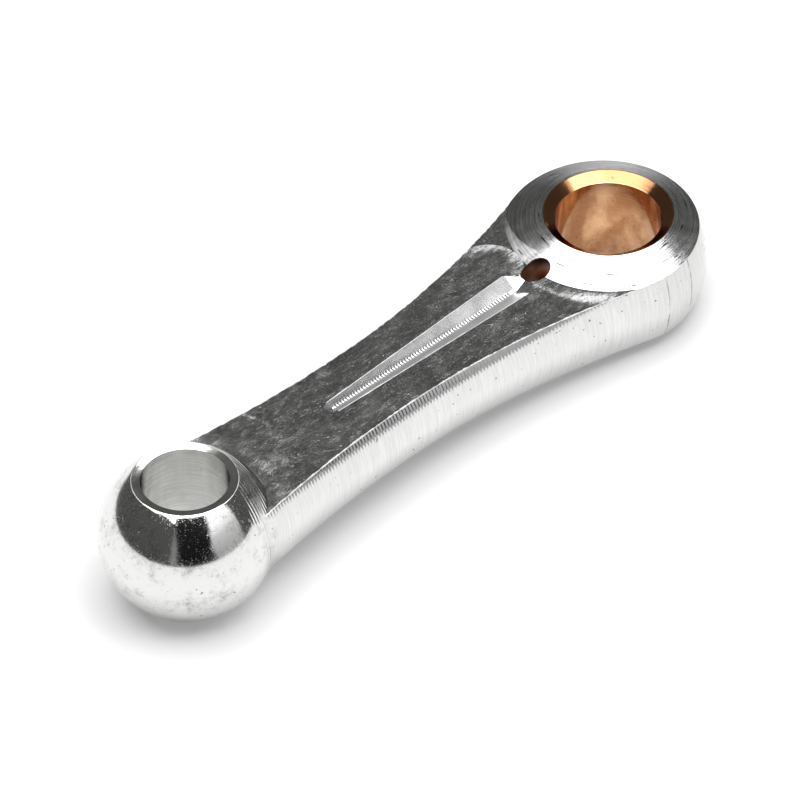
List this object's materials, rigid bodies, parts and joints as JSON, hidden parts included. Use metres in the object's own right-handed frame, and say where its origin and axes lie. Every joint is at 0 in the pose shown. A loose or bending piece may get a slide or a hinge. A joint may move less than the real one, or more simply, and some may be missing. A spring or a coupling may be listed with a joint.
{
  "type": "connecting rod",
  "caption": "Turned rod with a large coned eye carrying a pressed-in bush, a flat-milled waisted shank with a tapered oil groove, and a small ball-shaped eye.",
  "frame": {"origin": "centre of the crank-pin bore, on the middle plane of the rod", "axes": "+Z along both bores, out of the face with the oil groove; +X from the big end to the small end"},
  "size_m": [0.0354, 0.0098, 0.0066],
  "materials": {
    "rod_aluminium": "bright turned and milled",
    "bush_bronze": "reamed bronze"
  },
  "bodies": {
    "root": {"rod_body": "rod_aluminium", "big_end_bush": "bush_bronze"}
  },
  "joints": []
}
